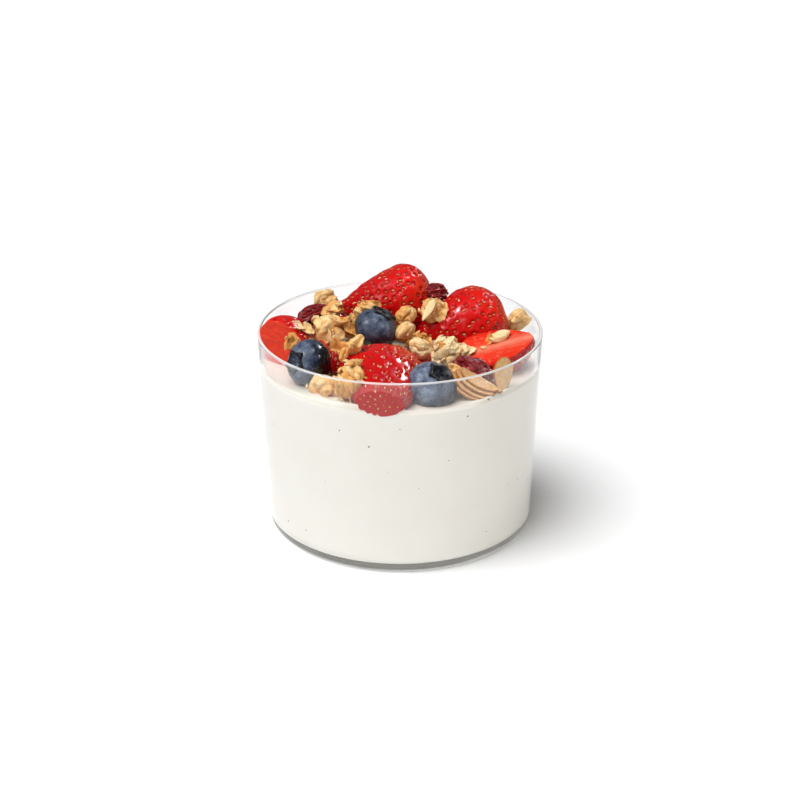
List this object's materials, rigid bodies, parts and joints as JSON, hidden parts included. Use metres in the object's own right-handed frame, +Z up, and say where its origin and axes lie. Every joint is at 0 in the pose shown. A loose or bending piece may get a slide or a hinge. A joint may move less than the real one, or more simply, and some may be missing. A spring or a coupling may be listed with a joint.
{
  "type": "yogurt parfait",
  "caption": "Small straight-sided glass of plain yogurt topped with cut strawberries, blueberries, dried cranberries, granola clusters and flaked almonds.",
  "frame": {"origin": "middle of the glass's base, on the surface it stands on", "axes": "+Z up through the glass's axis, -Y towards the front, where the yogurt line and the front blueberry show, +X to the right seen from the front"},
  "size_m": [0.0824, 0.0824, 0.0737],
  "materials": {
    "clear_glass": "clear pressed glass, fire-polished rim, IOR 1.52",
    "plain_yogurt": "smooth set yogurt, satin, soft light through it, fine dark vanilla specks",
    "strawberry": "glossy wet skin with sunken golden seeds, paler red cut faces",
    "blueberry": "navy skin under a pale blue waxy bloom, dark crown",
    "dried_cranberry": "wrinkled, sugared and glossy",
    "baked_oats": "toasted golden oat flakes, matt with a thin honey glaze",
    "flaked_almond": "pale sliced almond, dry and matt"
  },
  "bodies": {
    "root": {"almond_fan_1": "flaked_almond", "almond_fan_2": "flaked_almond", "almond_upright": "flaked_almond", "blueberry_far": "blueberry", "blueberry_front": "blueberry", "blueberry_left": "blueberry", "blueberry_middle": "blueberry", "cranberry_back": "dried_cranberry", "cranberry_front": "dried_cranberry", "cranberry_left": "dried_cranberry", "glass": "clear_glass", "granola_ball": "baked_oats", "granola_chip": "baked_oats", "granola_crumbly": "baked_oats", "granola_curl": "baked_oats", "granola_far": "baked_oats", "granola_far_left": "baked_oats", "granola_far_right": "baked_oats", "granola_knot": "baked_oats", "granola_left": "baked_oats", "granola_left_low": "baked_oats", "granola_left_top": "baked_oats", "granola_middle": "baked_oats", "granola_peak": "baked_oats", "granola_puff_low": "baked_oats", "granola_puff_top": "baked_oats", "granola_right": "baked_oats", "granola_rim_left": "baked_oats", "granola_rim_right": "baked_oats", "granola_under_edge": "baked_oats", "granola_under_left": "baked_oats", "granola_under_middle": "baked_oats", "granola_under_right": "baked_oats", "strawberry_back": "strawberry", "strawberry_far": "strawberry", "strawberry_front": "strawberry", "strawberry_low": "strawberry", "strawberry_open_left": "strawberry", "strawberry_open_right": "strawberry", "strawberry_right": "strawberry", "strawberry_small": "strawberry", "yogurt": "plain_yogurt"}
  },
  "joints": []
}
